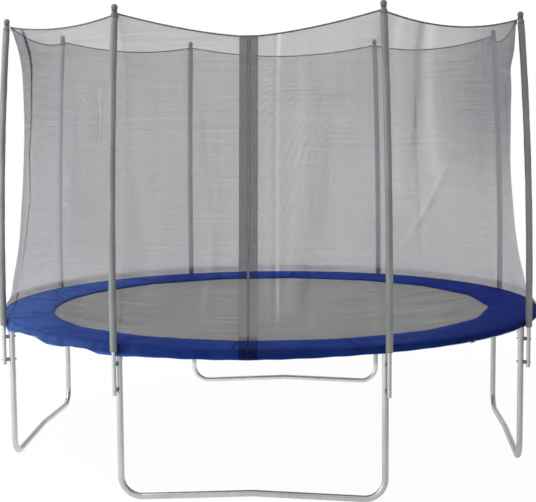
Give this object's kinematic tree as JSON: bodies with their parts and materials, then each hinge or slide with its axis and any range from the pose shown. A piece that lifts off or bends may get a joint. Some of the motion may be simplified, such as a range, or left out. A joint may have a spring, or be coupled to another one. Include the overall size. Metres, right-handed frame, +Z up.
{
  "type": "trampoline",
  "caption": "Round garden trampoline: sprung mat on a galvanised ring with bent tube legs, blue spring pad, and a net on foam-sleeved poles with a zipped door.",
  "frame": {"origin": "on the floor, at the centre of the ring", "axes": "+Z up, -Y towards the net's zipped door"},
  "size_m": [3.6784, 3.6795, 2.8477],
  "materials": {
    "galvanised_tube": "galvanised steel tube, satin with soft highlights",
    "zinc_fastener": "zinc plated, satin",
    "sleeve_foam": "grey cover over a foam sleeve, matt",
    "cap_plastic": "dark grey moulded plastic",
    "spacer_plastic": "dark grey moulded plastic",
    "net_mesh": "fine dark mesh, see-through",
    "hem_cord": "dark grey cord in a sewn hem",
    "elastic_tie": "black woven elastic",
    "door_fabric": "dark close mesh strip",
    "zip_tape": "black woven tape",
    "zip_metal": "nickel plated",
    "mat_fabric": "grey woven polypropylene, matt",
    "mat_webbing": "black woven webbing",
    "spring_steel": "zinc plated spring wire",
    "pad_cover": "blue coated fabric over foam, soft sheen",
    "pad_skirt_cover": "blue coated fabric, soft sheen"
  },
  "bodies": {
    "frame": {"door_strip": "door_fabric", "frame_rail_1": "galvanised_tube", "frame_rail_2": "galvanised_tube", "frame_rail_3": "galvanised_tube", "frame_rail_4": "galvanised_tube", "frame_rail_5": "galvanised_tube", "frame_rail_6": "galvanised_tube", "frame_rail_7": "galvanised_tube", "frame_rail_8": "galvanised_tube", "leg_base_back": "galvanised_tube", "leg_base_front": "galvanised_tube", "leg_base_left": "galvanised_tube", "leg_base_right": "galvanised_tube", "leg_screws": "zinc_fastener", "leg_upright_1": "galvanised_tube", "leg_upright_2": "galvanised_tube", "leg_upright_3": "galvanised_tube", "leg_upright_4": "galvanised_tube", "leg_upright_5": "galvanised_tube", "leg_upright_6": "galvanised_tube", "leg_upright_7": "galvanised_tube", "leg_upright_8": "galvanised_tube", "net_front_left": "net_mesh", "net_front_right": "net_mesh", "net_hem_cord": "hem_cord", "net_panel_1": "net_mesh", "net_panel_2": "net_mesh", "net_panel_3": "net_mesh", "net_panel_4": "net_mesh", "net_panel_5": "net_mesh", "net_panel_6": "net_mesh", "net_panel_7": "net_mesh", "net_pole_loops": "hem_cord", "net_ties": "elastic_tie", "pad_skirt": "pad_skirt_cover", "pole_bolts": "zinc_fastener", "pole_caps": "cap_plastic", "pole_lower_tubes": "galvanised_tube", "pole_nuts": "zinc_fastener", "pole_sleeves": "sleeve_foam", "pole_spacers": "spacer_plastic", "pole_upper_1": "galvanised_tube", "pole_upper_2": "galvanised_tube", "pole_upper_3": "galvanised_tube", "pole_upper_4": "galvanised_tube", "pole_upper_5": "galvanised_tube", "pole_upper_6": "galvanised_tube", "pole_upper_7": "galvanised_tube", "pole_upper_8": "galvanised_tube", "safety_pad": "pad_cover", "springs": "spring_steel", "zip_tape": "zip_tape"},
    "mat": {"mat": "mat_fabric", "mat_webbing": "mat_webbing", "mat_rings": "spring_steel"},
    "zip_slider": {"zip_slider": "zip_metal"},
    "zip_pull": {"zip_pull": "zip_metal"}
  },
  "joints": [
    {"name": "mat_bounce", "type": "slide", "parent": "frame", "child": "mat", "axis": [0, 0, 1], "range_m": [-0.5, 0], "stiffness_N_per_m": 5500, "springref_m": 0.03, "deforming": ["springs"]},
    {"name": "zip_travel", "type": "slide", "parent": "frame", "child": "zip_slider", "axis": [0, 0.1455, 0.9894], "range_m": [-0.53, 1.15]},
    {"name": "zip_pull_swing", "type": "hinge", "parent": "zip_slider", "child": "zip_pull", "pos_m": [0, -1.76607, 1.4809], "axis": [-1, 0, 0], "range_deg": [0, 175]}
  ]
}
